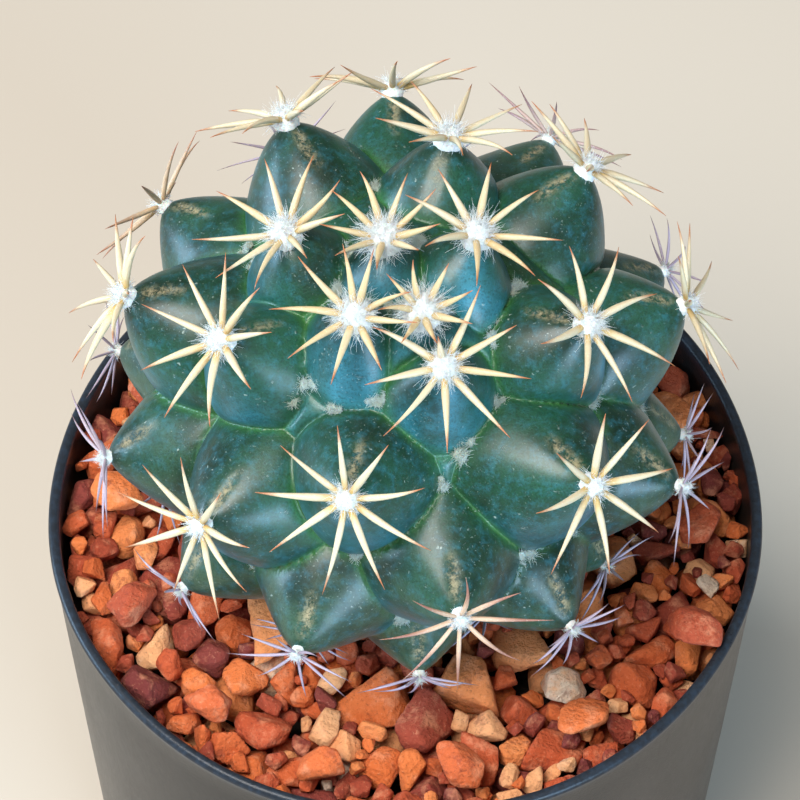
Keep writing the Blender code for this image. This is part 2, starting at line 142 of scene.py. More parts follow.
class Plant:
    """What the frame says about the cactus: the globe's centre and a tubercle under each cluster."""

    CUSHION_STAND = 1.74 * MM     # top of a CAD cushion over the skin
    STEEPNESS = 0.74
    FLANK_SHARE = 0.33            # how much shorter the flank towards the crown is than the outer one
    FLANK_REACH = 1.6
    HEIGHTS = (8.2 * MM, 8.6 * MM)    # young and old tubercles
    ROUNDNESS = (1.05, 0.80)      # 2 is a round dome, 1 is a cone and below 1 the flanks are hollow
    TIP_FLAT = 0.17               # share of the flank that stays rounded at the areole
    NECK_RADIUS = 17 * MM

    def __init__(self):
        self.clusters = [Cluster(name) for name in CLUSTER_NAMES]
        self.centre = self.meeting_point()
        tops = np.array([cluster.top for cluster in self.clusters]) - self.centre
        self.axes = unit(tops)
        self.reaches = np.linalg.norm(tops, axis=1) - self.CUSHION_STAND
        self.age = np.clip(np.arange(len(tops)) / len(tops) * 2 - 0.7, 0, 1)
        self.old = smooth_step(13, 22, np.arange(len(tops)).astype(float))
        self.half_gaps = self.half_distances()
        self.crownward, self.sideways = self.across()
        self.root_depth = self.centre[2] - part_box("cactus_stem")[0].z

    def meeting_point(self):
        """The point nearest to every cluster's axis."""
        across, pull = np.zeros((3, 3)), np.zeros(3)
        for cluster in self.clusters:
            flat = np.eye(3) - np.outer(cluster.axis, cluster.axis)
            across += flat
            pull += flat @ cluster.top
        return np.linalg.solve(across, pull)

    def half_distances(self):
        """Half the angle from each tubercle to the nearest four."""
        apart = np.arccos(np.clip(self.axes @ self.axes.T, -1, 1))
        return np.sort(apart, axis=1)[:, 1:5].mean(axis=1) / 2

    def across(self):
        """Two directions along the skin at each tubercle: towards the crown, and sideways."""
        up = np.where(np.abs(self.axes[:, 2:3]) < 0.95, (0.0, 0.0, 1.0), (0.0, 1.0, 0.0))
        crownward = unit(up - self.axes * np.sum(up * self.axes, axis=1, keepdims=True))
        return crownward, np.cross(self.axes, crownward)

    def domes(self, directions):
        """Height of every tubercle's dome in every direction, from the globe's centre."""
        apart = np.arccos(np.clip(directions @ self.axes.T, -1, 1))
        towards = directions @ self.crownward.T / np.maximum(np.sin(apart), 1e-6)
        near = apart / self.half_gaps * (1 + self.FLANK_SHARE * towards)
        near = near / (1 + (near / self.FLANK_REACH) ** 6) ** (1 / 6)
        full = self.HEIGHTS[0] + (self.HEIGHTS[1] - self.HEIGHTS[0]) * self.age
        height = np.minimum(full, self.STEEPNESS * self.half_gaps * self.reaches)
        power = (self.ROUNDNESS[0] + (self.ROUNDNESS[1] - self.ROUNDNESS[0]) * self.old) / 2
        flat = self.TIP_FLAT ** 2
        fall = ((near ** 2 + flat) ** power - flat ** power) / ((1 + flat) ** power - flat ** power)
        return self.reaches - height * fall

    def root(self, directions):
        """Distance from the globe's centre to the surface of the root neck."""
        side = np.maximum(np.hypot(directions[:, 0], directions[:, 1]), 1e-6)
        down = np.maximum(-directions[:, 2], 1e-6)
        return np.where(directions[:, 2] < 0, np.minimum(self.NECK_RADIUS / side, self.root_depth / down), 0)


PLANT = Plant()


# ---------------------------------------------------------------- mesh helpers
def mesh_object(name, points, faces, values=None):
    """A new object from points, faces and named values at each point."""
    mesh = bpy.data.meshes.new(name)
    mesh.from_pydata([tuple(point) for point in points], [], [tuple(map(int, face)) for face in faces])
    mesh.shade_smooth()
    for label, amounts in (values or {}).items():
        layer = mesh.attributes.new(label, "FLOAT", "POINT")
        layer.data.foreach_set("value", np.asarray(amounts, dtype=np.float32))
    mesh.validate()
    made = bpy.data.objects.new(name, mesh)
    bpy.context.scene.collection.objects.link(made)
    return made


def merge(parts):
    """Joins (points, faces, values) parts into one."""
    points = np.concatenate([part[0] for part in parts])
    starts = np.cumsum([0] + [len(part[0]) for part in parts[:-1]])
    faces = [tuple(int(corner) + int(start) for corner in face)
             for part, start in zip(parts, starts) for face in part[1]]
    values = {label: np.concatenate([part[2][label] for part in parts]) for label in parts[0][2]}
    return points, faces, values


def sweep(path, radii, sides, facing):
    """A closed round bar along a path. facing is a direction that the path never follows."""
    tangents = unit(np.gradient(path, axis=0))
    side = unit(np.cross(tangents, facing))
    over = np.cross(side, tangents)
    turns = np.arange(sides) / sides * 2 * math.pi
    ring = np.cos(turns)[None, :, None] * side[:, None, :] + np.sin(turns)[None, :, None] * over[:, None, :]
    points = (path[:, None, :] + radii[:, None, None] * ring).reshape(-1, 3)
    rows = len(path)
    faces = [(row * sides + turn, row * sides + (turn + 1) % sides,
              (row + 1) * sides + (turn + 1) % sides, (row + 1) * sides + turn)
             for row in range(rows - 1) for turn in range(sides)]
    low, high = len(points), len(points) + 1
    points = np.concatenate([points, path[:1], path[-1:]])
    last = (rows - 1) * sides
    faces += [((turn + 1) % sides, turn, low) for turn in range(sides)]
    faces += [(last + turn, last + (turn + 1) % sides, high) for turn in range(sides)]
    along = np.concatenate([np.repeat(np.linspace(0, 1, rows), sides), (0, 1)])
    return points, [face[::-1] for face in faces], along


def place(made, material, slot, *replaced):
    """Gives a piece its material and lets it stand for CAD nodes; slot is not used."""
    made.data.materials.append(material)
    if replaced:
        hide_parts(*replaced)
    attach(made, "root")
    return made


def place_groups(name, parts, group, material, slot, *replaced):
    """Makes numbered pieces, each of so many parts."""
    for start in range(0, len(parts), group):
        made = mesh_object(f"{name}_{start // group + 1}", *merge(parts[start:start + group]))
        place(made, material, slot, *replaced)


# ---------------------------------------------------------------- shader helpers
class Socket:
    """A number that varies over a surface. Arithmetic on it adds Math nodes."""

    def __init__(self, graph, socket):
        self.graph = graph
        self.socket = socket

    def math(self, operation, *values):
        inputs = dict(enumerate(values))
        return self.graph.add("ShaderNodeMath", {"operation": operation}, inputs)

    def __add__(self, other):
        return self.math("ADD", self, other)

    def __sub__(self, other):
        return self.math("SUBTRACT", self, other)

    def __rsub__(self, other):
        return self.math("SUBTRACT", other, self)

    def __mul__(self, other):
        return self.math("MULTIPLY", self, other)

    __radd__ = __add__
    __rmul__ = __mul__


class Graph:
    """The nodes of one material."""

    def __init__(self, name):
        self.material = bpy.data.materials.new(name)
        self.material.use_nodes = True
        self.nodes = self.material.node_tree.nodes
        self.shader = self.nodes["Principled BSDF"]

    def put(self, target, value):
        """Links a socket, or sets a constant."""
        if isinstance(value, Socket):
            self.material.node_tree.links.new(value.socket, target)
        elif hasattr(value, "__len__") and len(value) == 3 and target.type == "RGBA":
            target.default_value = (*value, 1)
        else:
            target.default_value = value

    def add(self, kind, settings=None, inputs=None, output=0):
        """Adds a node: its settings first, then the values or links of its sockets."""
        node = self.nodes.new(kind)
        for name, value in (settings or {}).items():
            if name == "stops":
                self.set_stops(node.color_ramp, value)
            else:
                setattr(node, name, value)
        for name, value in (inputs or {}).items():
            self.put(node.inputs[name], value)
        return Socket(self, node.outputs[output])

    def set_stops(self, ramp, stops):
        while len(ramp.elements) < len(stops):
            ramp.elements.new(1)
        for element, (position, colour) in zip(ramp.elements, stops):
            element.position = position
            element.color = (*colour, 1)

    def attribute(self, name):
        return self.add("ShaderNodeAttribute", {"attribute_name": name}, output="Fac")

    def position(self):
        return self.add("ShaderNodeTexCoord", output="Object")

    def noise(self, size, detail=3, roughness=0.5, vector=None):
        """Noise from 0 to 1; size is the width of its coarsest lumps in metres."""
        inputs = {"Vector": vector or self.position(), "Scale": 1 / size,
                  "Detail": detail, "Roughness": roughness}
        return self.add("ShaderNodeTexNoise", {}, inputs)

    def noise_colour(self, size):
        return self.add("ShaderNodeTexNoise", {}, {"Vector": self.position(), "Scale": 1 / size}, "Color")

    def cells(self, size, vector=None):
        """Distance to the nearest of scattered points that are about this far apart."""
        inputs = {"Vector": vector or self.position(), "Scale": 1 / size}
        return self.add("ShaderNodeTexVoronoi", {}, inputs)

    def stretch(self, factors, vector=None):
        """Object coordinates scaled along each axis."""
        inputs = {0: vector or self.position(), 1: factors}
        return self.add("ShaderNodeVectorMath", {"operation": "MULTIPLY"}, inputs)

    def between(self, value, low, high):
        """0 below low and 1 above high, with a smooth rise."""
        inputs = {"Value": value, "From Min": low, "From Max": high}
        return self.add("ShaderNodeMapRange", {"interpolation_type": "SMOOTHSTEP"}, inputs)

    def mix(self, factor, first, second):
        """Blends two colours."""
        return self.add("ShaderNodeMix", {"data_type": "RGBA"}, {0: factor, 6: first, 7: second}, 2)

    def ramp(self, value, stops):
        return self.add("ShaderNodeValToRGB", {"stops": stops}, {"Fac": value})

    def bump(self, height, distance):
        """Fine relief; distance is how far a height of 1 stands out."""
        return self.add("ShaderNodeBump", {}, {"Height": height, "Distance": distance, "Strength": 1.0})

    def finish(self, inputs):
        """Sets the surface shader's sockets and returns the material."""
        for name, value in inputs.items():
            self.put(self.shader.inputs[name], value)
        return self.material


# ---------------------------------------------------------------- settings
def colour_property(name, description, default):
    return FloatVectorProperty(name=name, description=description, default=default, subtype="COLOR",
                               size=3, min=0, max=1)


def length_property(name, description, default):
    return FloatProperty(name=name, description=description, default=default, min=0,
                         unit="LENGTH", subtype="DISTANCE")


class StemSettings(bpy.types.PropertyGroup):
    body_colour: colour_property("Body", "Green of the skin", (0.012, 0.068, 0.034))
    deep_colour: colour_property("Shade", "Darkest green of the skin", (0.003, 0.019, 0.008))
    # real waxy bloom in the mottling, and also a painted highlight on the lower flanks and down the ridge under
    # each areole
    bloom_and_highlight_colour: colour_property("Bloom", "Waxy blue-green film on the flanks", (0.045, 0.235, 0.310))
    crease_colour: colour_property("Crease", "Fresh green between the tubercles", (0.042, 0.150, 0.030))
    cork_colour: colour_property("Cork", "Tan scars on old tubercles", (0.42, 0.34, 0.20))
    speck_colour: colour_property("Specks", "Pale mineral specks on the skin", (0.55, 0.60, 0.52))
    olive_colour: colour_property("Olive", "Sallow patches on old tubercles", (0.085, 0.095, 0.045))
    # painted shade for the bottom of the creases
    crease_shade_colour: colour_property("Crevice", "Bottom of the creases", (0.007, 0.035, 0.010))
    neck_colour: colour_property("Neck", "Corky brown base of the plant", (0.100, 0.075, 0.045))
    crease_depth: length_property("Crease depth", "Extra depth of the creases", 1.8 * MM)
    crease_width: length_property("Crease width", "Width of that extra depth", 0.95 * MM)
    web: length_property("Web", "How softly the oldest tubercles run into each other", 1.3 * MM)
    lump_height: length_property("Lumps", "Unevenness of the skin", 0.22 * MM)
    groove_depth: length_property("Groove depth", "Depth of the scar above each areole", 0.35 * MM)


class SpineSettings(bpy.types.PropertyGroup):
    width: length_property("Width", "Width of a full-grown spine near its root", 1.00 * MM)
    old_width: length_property("Old width", "Width of the oldest spines", 0.42 * MM)
    rows: IntProperty(name="Rows", description="Rings along each spine", default=14, min=4)
    sides: IntProperty(name="Sides", description="Sides of each spine", default=10, min=3)
    ivory_colour: colour_property("Ivory", "Middle of a spine", (0.60, 0.50, 0.33))
    amber_colour: colour_property("Amber", "Young spines and the base of older ones", (0.53, 0.34, 0.10))
    tip_colour: colour_property("Tip", "Point of a spine", (0.36, 0.11, 0.035))
    grey_colour: colour_property("Weathered", "Spines of the oldest clusters", (0.36, 0.29, 0.36))
    grey_tip_colour: colour_property("Weathered tip", "Points of the oldest spines", (0.10, 0.05, 0.06))
    pink_colour: colour_property("Pink", "Spines that begin to weather", (0.62, 0.42, 0.28))
    brown_colour: colour_property("Brown", "Outer half of those spines", (0.30, 0.13, 0.09))
    streak_colour: colour_property("Streaks", "Pale fibres along a spine", (0.95, 0.90, 0.78))


class WoolSettings(bpy.types.PropertyGroup):
    pad_radius: length_property("Pad radius", "Radius of the wool on an old areole", 1.75 * MM)
    young_extra: length_property("Young extra", "Extra radius on the newest areole", 1.85 * MM)
    fibre_width: length_property("Fibre width", "Thickness of a wool fibre", 0.065 * MM)
    fibres: IntProperty(name="Fibres", description="Fibres on the newest areole", default=1300, min=10)
    white_colour: colour_property("White", "Fresh wool", (0.80, 0.81, 0.79))
    cream_colour: colour_property("Cream", "Old wool", (0.58, 0.55, 0.50))
    axil_colour: colour_property("Axil", "Thin wool in the creases", (0.46, 0.55, 0.52))
    axil_shade: colour_property("Axil shade", "Dusty parts of that wool", (0.40, 0.43, 0.34))


class StoneSettings(bpy.types.PropertyGroup):
    smallest: length_property("Smallest", "Half length of the smallest chips", 2.2 * MM)
    largest: length_property("Largest", "Half length of the largest chips", 5.4 * MM)
    left_headspace: length_property("Headspace left", "Rim down to the stones on the left", 1.2 * MM)
    right_headspace: length_property("Headspace right", "Rim down to the stones on the right", 3.4 * MM)
    grid: length_property("Grid", "Cell of the height map that stones are dropped on", 0.5 * MM)
    lit_colour: colour_property("Fresh faces", "Paler faces of the stones", (0.80, 0.34, 0.18))
    dark_colour: colour_property("Dark faces", "Deep red patches on the stones", (0.190, 0.034, 0.022))
    chalk_colour: colour_property("Chalk", "Pale grains", (0.84, 0.40, 0.22))
    pit_colour: colour_property("Pits", "Dark grains", (0.090, 0.018, 0.012))
    seed: IntProperty(name="Seed", description="Another number packs the stones another way", default=7)


class PotSettings(bpy.types.PropertyGroup):
    segments: IntProperty(name="Segments", description="Sides of the turned pot", default=240, min=24)
    plastic_colour: colour_property("Plastic", "Black of the moulded plastic", (0.014, 0.013, 0.013))
    # real dust in the specks, and a painted reflection in the brown vertical streaks on the wall
    dust_and_reflection_colour: colour_property("Dust", "Dried water marks on the wall", (0.26, 0.19, 0.14))
    # pale blue along the rim: partly wear, partly a painted sheen of the sky
    rim_wear_and_sheen_colour: colour_property("Rim", "Worn plastic along the rim", (0.022, 0.030, 0.042))


class StageSettings(bpy.types.PropertyGroup):
    floor_colour: colour_property("Floor", "Plain pale floor", (0.54, 0.46, 0.37))
    floor_shade: colour_property("Floor shade", "Faint uneven tone of the floor", (0.5, 0.45, 0.4))
    key_power: FloatProperty(name="Key", description="Power of the main light",
                             default=13.0, min=0, unit="POWER")
    fill_power: FloatProperty(name="Fill", description="Power of each window light",
                              default=34.0, min=0, unit="POWER")
    sky_strength: FloatProperty(name="Sky", description="Strength of the even light", default=0.20, min=0)


# ---------------------------------------------------------------- stem
def skin_green(graph, settings, broad, fine):
    """Mottled green; a lighter waxy blue on the lower flanks and down the ridge under each areole, partly real
    bloom and partly painted highlight, with the lower faces painted lighter than the upper ones; olive in
    patches on the old tubercles.
    """
    flank = graph.attribute("flank")
    age = graph.attribute("age")
    body = graph.mix(graph.between(broad, 0.34, 0.66), settings.deep_colour, settings.body_colour)
    body = graph.mix(graph.between(fine, 0.42, 0.75) * 0.30, body, settings.bloom_and_highlight_colour)
    patches = graph.between(graph.noise(8 * MM, 4, 0.6), 0.36, 0.70)
    # lower flanks and the band under each areole: partly bloom, partly painted highlight that makes the lower
    # faces lighter
    body = graph.mix(flank * (0.18 + 0.80 * patches), body, settings.bloom_and_highlight_colour)
    olive = age * (1 - flank) * graph.between(graph.noise(6 * MM, 5, 0.65), 0.42, 0.62)
    return graph.mix(olive * 0.6, body, settings.olive_colour)


def skin_creases(graph, settings, body):
    """Fresh green beside the creases, and painted shade, a dark green, at their bottom."""
    crease = graph.attribute("crease")
    fresh = graph.between(graph.noise(11 * MM, 2), 0.36, 0.60)
    body = graph.mix(graph.between(crease, 0.02, 0.60) * (0.30 + 0.60 * fresh), body, settings.crease_colour)
    # painted shade at the bottom of each crease
    return graph.mix(graph.between(crease, 0.84, 0.97) * 0.6, body, settings.crease_shade_colour)


def skin_scuffs(graph):
    """Short level scratches, in a few areas only."""
    dashes = graph.noise(1.9 * MM, 7, 0.8, graph.stretch((1, 1, 2.5)))
    return graph.between(dashes, 0.615, 0.67) * graph.between(graph.noise(9 * MM, 2), 0.40, 0.62)


def skin_specks(graph, broad):
    """Mineral specks of two sizes, pushed out of round by a wandering position."""
    shift = graph.stretch((1.2 * MM, 1.2 * MM, 1.2 * MM), graph.noise_colour(0.8 * MM))
    wander = graph.add("ShaderNodeVectorMath", {"operation": "ADD"}, {0: graph.position(), 1: shift})
    dots = 1 - graph.between(graph.cells(1.2 * MM, wander), 0.05, 0.20)
    small_dots = 1 - graph.between(graph.cells(0.6 * MM, wander), 0.04, 0.22)
    sprinkled = graph.between(graph.noise(4 * MM, 3), 0.50, 0.66)
    return dots * sprinkled, small_dots * graph.between(broad, 0.66, 0.40)


def skin_material(settings):
    graph = Graph("cactus skin")
    broad = graph.noise(12 * MM, 4, 0.55)
    fine = graph.noise(1.3 * MM, 6, 0.65)
    body = skin_creases(graph, settings, skin_green(graph, settings, broad, fine))
    scuffed = skin_scuffs(graph)
    dots, small_dots = skin_specks(graph, broad)
    for marked in (scuffed * 0.60, dots * 0.60, small_dots * 0.30):
        body = graph.mix(marked, body, settings.speck_colour)
    cork = graph.attribute("groove") * graph.between(graph.noise(1.1 * MM, 5, 0.75), 0.40, 0.56)
    body = graph.mix(cork * 0.75, body, settings.cork_colour)
    pores = graph.noise(0.30 * MM, 3, 0.6)
    body = graph.mix(graph.between(pores, 0.52, 0.34) * 0.45, body, settings.deep_colour)
    neck = graph.attribute("neck") * (0.55 + 0.45 * graph.between(broad, 0.30, 0.60))
    body = graph.mix(neck, body, settings.neck_colour)
    height = 0.9 * pores + 1.0 * fine + 0.7 * dots + 0.8 * scuffed + 1.2 * cork
    return graph.finish({
        "Base Color": body,
        "Roughness": 0.40 + 0.20 * fine + 0.20 * cork + 0.2 * scuffed,
        "Normal": graph.bump(height, 0.10 * MM),
        "Specular IOR Level": 0.20,
        "Coat Weight": 0.65 - 0.6 * cork,
        "Coat Roughness": 0.32,
        "Coat Tint": (0.80, 0.94, 1.0, 1),
        "Sheen Weight": 0.03,
        "Sheen Roughness": 0.45,
        "Sheen Tint": (0.30, 0.75, 1.0, 1),
        "Subsurface Weight": 0.05,
        "Subsurface Scale": 0.0015,
        "Subsurface Radius": (0.4, 1.0, 0.5),
    })


class StemSkin:
    """Shapes the skin of the cactus over the frame's tubercles."""

    MERGE = 1.5 * MM              # domes this close in height share their age
    WEB_WIDTH = 2.2               # width of a web over its height
    MEAN_RADIUS = 40 * MM
    LUMP_SIZE = 7 * MM
    RIDGE_WIDTH = 2.4 * MM
    GROOVE_WIDTH = 0.75 * MM
    CREASE_SEEN = 0.42            # deeper creases than this get a finer mesh
    HIDDEN_BELOW = -0.75          # height on the unit sphere under which nothing shows

    def __init__(self, settings):
        self.settings = settings

    def shape(self, directions):
        """Points of the skin in these directions, and the masks that colour them."""
        domes = PLANT.domes(directions)
        nearest = np.argmax(domes, axis=1)
        ranked = np.sort(domes, axis=1)
        gap = ranked[:, -1] - ranked[:, -2]
        share = np.exp((domes - ranked[:, -1:]) / self.MERGE)
        web = share @ PLANT.old / share.sum(axis=1)
        crease = np.exp(-gap / self.settings.crease_width) * (1 - 0.75 * web)
        groove = self.groove(directions, nearest) * (1 - crease)
        reach = ranked[:, -1] - self.settings.crease_depth * crease - self.settings.groove_depth * groove
        reach += web * self.settings.web * np.exp(-gap / (self.WEB_WIDTH * self.settings.web))
        reach += self.settings.lump_height * lumps(directions * self.MEAN_RADIUS, self.LUMP_SIZE) * (1 - crease)
        root = PLANT.root(directions)
        on_globe = reach > root
        points = PLANT.centre + directions * np.maximum(reach, root)[:, None]
        below = -np.sum(directions * PLANT.crownward[nearest], axis=1) / PLANT.half_gaps[nearest]
        aside = np.sum(directions * PLANT.sideways[nearest], axis=1) * PLANT.reaches[nearest]
        # the flank mask (lower flanks and a band down the ridge under each areole) is where the skin is painted
        # lighter blue: partly bloom, partly painted highlight
        ridge = np.exp(-(aside / self.RIDGE_WIDTH) ** 2) * smooth_step(0.05, 0.4, below)
        masks = {
            "crease": np.where(on_globe, crease, 0),
            "groove": np.where(on_globe, groove, 0),
            "flank": np.where(on_globe, np.maximum(smooth_step(0.0, 1.2, below) * 0.7, ridge), 0),
            "neck": smooth_step(-1.5 * MM, 1.0 * MM, root - reach),
            "age": PLANT.age[nearest],
            "junction": np.exp(-(ranked[:, -1] - ranked[:, -3]) / self.settings.crease_width),
        }
        return points, masks

    def groove(self, directions, nearest):
        """1 along the scar that runs from each older areole towards the crown."""
        reach = PLANT.reaches[nearest]
        towards = np.sum(directions * PLANT.crownward[nearest], axis=1) * reach
        aside = np.sum(directions * PLANT.sideways[nearest], axis=1) * reach
        wander = lumps(directions * self.MEAN_RADIUS, 3 * MM, 5.0) * 0.5 * MM
        line = np.exp(-((aside + wander) / self.GROOVE_WIDTH) ** 2)
        span = smooth_step(1.2 * MM, 2.4 * MM, towards) * (1 - smooth_step(4.5 * MM, 7 * MM, towards))
        grown = smooth_step(3, 9, nearest.astype(float))
        return line * span * grown

    def directions(self):
        """Directions all round the globe, closer together along the creases."""
        mesh_bm = bmesh.new()
        bmesh.ops.create_icosphere(mesh_bm, subdivisions=7, radius=1)
        ends = unit(np.array([vert.co[:] for vert in mesh_bm.verts]))
        crease = self.shape(ends)[1]["crease"]
        mesh_bm.verts.ensure_lookup_table()
        split = [edge for edge in mesh_bm.edges
                 if max(crease[edge.verts[0].index], crease[edge.verts[1].index]) > self.CREASE_SEEN
                 and edge.verts[0].co.z > self.HIDDEN_BELOW]
        bmesh.ops.subdivide_edges(mesh_bm, edges=split, cuts=1)
        bmesh.ops.triangulate(mesh_bm, faces=mesh_bm.faces[:])
        directions = unit(np.array([vert.co[:] for vert in mesh_bm.verts]))
        mesh_bm.verts.index_update()
        faces = [[vert.index for vert in face.verts] for face in mesh_bm.faces]
        mesh_bm.free()
        return directions, faces


class CACTUS_OT_stem(bpy.types.Operator):
    """Grows the tubercled stem"""
    bl_idname = "cactus.stem"
    bl_label = "Stem"

    def execute(self, context):
        settings = context.scene.cactus_stem
        skin = StemSkin(settings)
        directions, faces = skin.directions()
        points, masks = skin.shape(directions)
        made = mesh_object("cactus_skin", points, faces, masks)
        place(made, skin_material(settings), "cactus_skin", "cactus_stem")
        return {"FINISHED"}


# ---------------------------------------------------------------- spines
def spine_material(settings):
    graph = Graph("spines")
    along = graph.attribute("along")
    youth = graph.attribute("youth")
    old = graph.attribute("old")
    tone = graph.attribute("tone")
    patches = graph.noise(1.6 * MM, 3)
    reach = along + 0.14 * (patches - 0.5)
    honey = tuple(0.55 * ivory + 0.45 * amber
                  for ivory, amber in zip(settings.ivory_colour, settings.amber_colour))
    shaft = graph.mix(graph.between(youth + 0.55 * (tone - 0.5), 0.25, 0.85), settings.ivory_colour, honey)
    colour = graph.mix(1 - graph.between(reach, 0.08, 0.28), shaft, settings.amber_colour)
    colour = graph.mix(graph.between(reach, 0.66, 0.95), colour, settings.tip_colour)
    weathered = graph.mix(graph.between(reach, 0.6, 1.0), settings.grey_colour, settings.grey_tip_colour)
    pinkish = graph.mix(graph.between(reach, 0.2, 0.7), settings.pink_colour, settings.brown_colour)
    aged = graph.mix(graph.between(old, 0.55, 0.95), pinkish, weathered)
    colour = graph.mix(graph.between(old + 0.15 * (patches - 0.5), 0.25, 0.55), colour, aged)
    streaks = graph.noise(0.35 * MM, 3, 0.6)
    colour = graph.mix(graph.between(streaks, 0.55, 0.75) * 0.25, colour, settings.streak_colour)
    return graph.finish({
        "Base Color": colour,
        "Roughness": 0.36 + 0.2 * streaks,
        "Normal": graph.bump(streaks, 0.05 * MM),
        "Subsurface Weight": 0.15,
        "Subsurface Scale": 0.0006,
        "Subsurface Radius": (1.0, 0.65, 0.3),
    })


HANDLE_WANDER = 0.45 * MM         # spread of a spine's bend off the frame's
TIP_WANDER = 0.30 * MM
ROOT_DEPTH = 1.2 * MM             # where the spines of a cluster meet, under the top of its cushion
FULL_WIDTH_AT = 0.32              # share of the length at which a spine is widest
TAPER_SHARE = 0.66                # share of the length that narrows to the point


def spine_part(cluster, curve, settings, number, random):
    """One spine as points, faces and values."""
    old = PLANT.old[number]
    root, handle, tip = curve
    handle = handle + random.normal(size=3) * HANDLE_WANDER
    tip = tip + random.normal(size=3) * TIP_WANDER
    inner = cluster.top - cluster.axis * ROOT_DEPTH
    root = inner + (root - inner) * 0.35
    share = np.linspace(0, 1, settings.rows)[:, None]
    path = (1 - share) ** 2 * root + 2 * share * (1 - share) * handle + share ** 2 * tip
    width = (settings.width + (settings.old_width - settings.width) * old) * random.uniform(0.86, 1.08)
    along = share[:, 0]
    swell = 0.78 + 0.22 * np.sin(np.clip(along / FULL_WIDTH_AT, 0, 1) * math.pi / 2)
    taper = np.clip((1 - along) / TAPER_SHARE, 0, 1) ** 0.85
    radii = width / 2 * np.maximum(swell * taper, 0.05)
    facing = cluster.axis + unit(np.cross(cluster.axis, tip - root)) * 0.01
    points, faces, spread = sweep(path, radii, settings.sides, facing)
    count = len(points)
    values = {"along": spread, "old": old, "youth": math.exp(-number / 6), "tone": random.random()}
    return points, faces, {name: np.broadcast_to(value, count) for name, value in values.items()}


class CACTUS_OT_spines(bpy.types.Operator):
    """Sets the radial spines on every areole"""
    bl_idname = "cactus.spines"
    bl_label = "Spines"

    def execute(self, context):
        settings = context.scene.cactus_spines
        material = spine_material(settings)
        random = np.random.default_rng(11)
        for number, cluster in enumerate(PLANT.clusters):
            parts = [spine_part(cluster, curve, settings, number, random) for curve in cluster.spines]
            made = mesh_object(cluster.name.replace("spine_cluster", "spines"), *merge(parts))
            place(made, material, "spine", cluster.name)
        return {"FINISHED"}


# ---------------------------------------------------------------- wool
def wool_material(name, fresh_colour, old_colour):
    graph = Graph(name)
    age = graph.attribute("age")
    tufts = graph.noise(0.5 * MM, 4, 0.6)
    colour = graph.mix(graph.between(age + 0.35 * (tufts - 0.5), 0.1, 0.9), fresh_colour, old_colour)
    shaded = graph.mix(graph.between(tufts, 0.25, 0.5), old_colour, colour)
    return graph.finish({
        "Base Color": shaded,
        "Roughness": 0.95,
        "Normal": graph.bump(graph.noise(0.14 * MM, 3) + 0.5 * tufts, 0.12 * MM),
        # a faint glow in the wool's own colour: painted light that brightens the wool
        "Emission Color": shaded,
        "Emission Strength": 0.06,
        "Sheen Weight": 0.30,
        "Sheen Roughness": 0.5,
        "Subsurface Weight": 0.25,
        "Subsurface Scale": 0.001,
    })


def fibre(start, heading, length, width, random):
    """One curled fibre of wool."""
    steps = np.linspace(0, 1, 5)[:, None]
    bend = random.normal(size=3) * 0.55
    path = start + length * (steps * heading + steps ** 2 * bend)
    facing = unit(np.cross(heading, bend) + 1e-4)
    points, faces, _ = sweep(path, width / 2 * (1 - 0.6 * steps[:, 0]), 3, facing)
    return points, faces


def felt_lump(centre, basis, random):
    """A rough lump of felt; basis holds its three half axes."""
    directions, faces = sphere(3)
    rough = 1 + 0.20 * lumps(directions, 0.42, random.uniform(0, 90)) + 0.10 * lumps(directions, 0.17, 3.0)
    return centre + (directions * rough[:, None]) @ basis, faces


def wool_tuft(centre, axis, radius, height, fibres, settings, age, random, core=0.68):
    """A low felt dome under a coat of loose fibres; core is the dome's share of the size."""
    side = unit(np.cross(axis, (0.31, 0.52, 0.79)))
    along = np.cross(axis, side)
    parts = [felt_lump(centre, np.array([side * radius, along * radius, axis * height]) * core, random)]
    for _ in range(fibres):
        turn = random.uniform(0, 2 * math.pi)
        lift = random.uniform(0.02, 1)
        out = math.sqrt(1 - lift * lift) * (math.cos(turn) * side + math.sin(turn) * along)
        start = centre + (out * radius + axis * lift * height) * core * random.uniform(0.75, 1.0)
        heading = unit(out * 0.9 + axis * (0.15 + lift * 0.6) + random.normal(size=3) * 0.55)
        parts.append(fibre(start, heading, radius * random.uniform(0.25, 0.5), settings.fibre_width, random))
    return merge([(*part, {"age": np.full(len(part[0]), age)}) for part in parts])


class CACTUS_OT_areole_wool(bpy.types.Operator):
    """Puts a pad of wool on every areole"""
    bl_idname = "cactus.areole_wool"
    bl_label = "Areole wool"

    def execute(self, context):
        settings = context.scene.cactus_wool
        material = wool_material("areole wool", settings.white_colour, settings.cream_colour)
        random = np.random.default_rng(5)
        tufts = []
        for number, cluster in enumerate(PLANT.clusters):
            young = math.exp(-number / 10)
            radius = settings.pad_radius * (1 - 0.42 * PLANT.old[number]) + settings.young_extra * young
            seat = cluster.top - cluster.axis * 1.5 * MM
            fibres = int(settings.fibres * (0.25 + 0.75 * young))
            tufts.append(wool_tuft(seat, cluster.axis, radius, radius * 0.7 + 0.9 * MM, fibres, settings,
                                   PLANT.age[number], random))
        place_groups("areole_wool", tufts, 5, material, "spine")
        return {"FINISHED"}


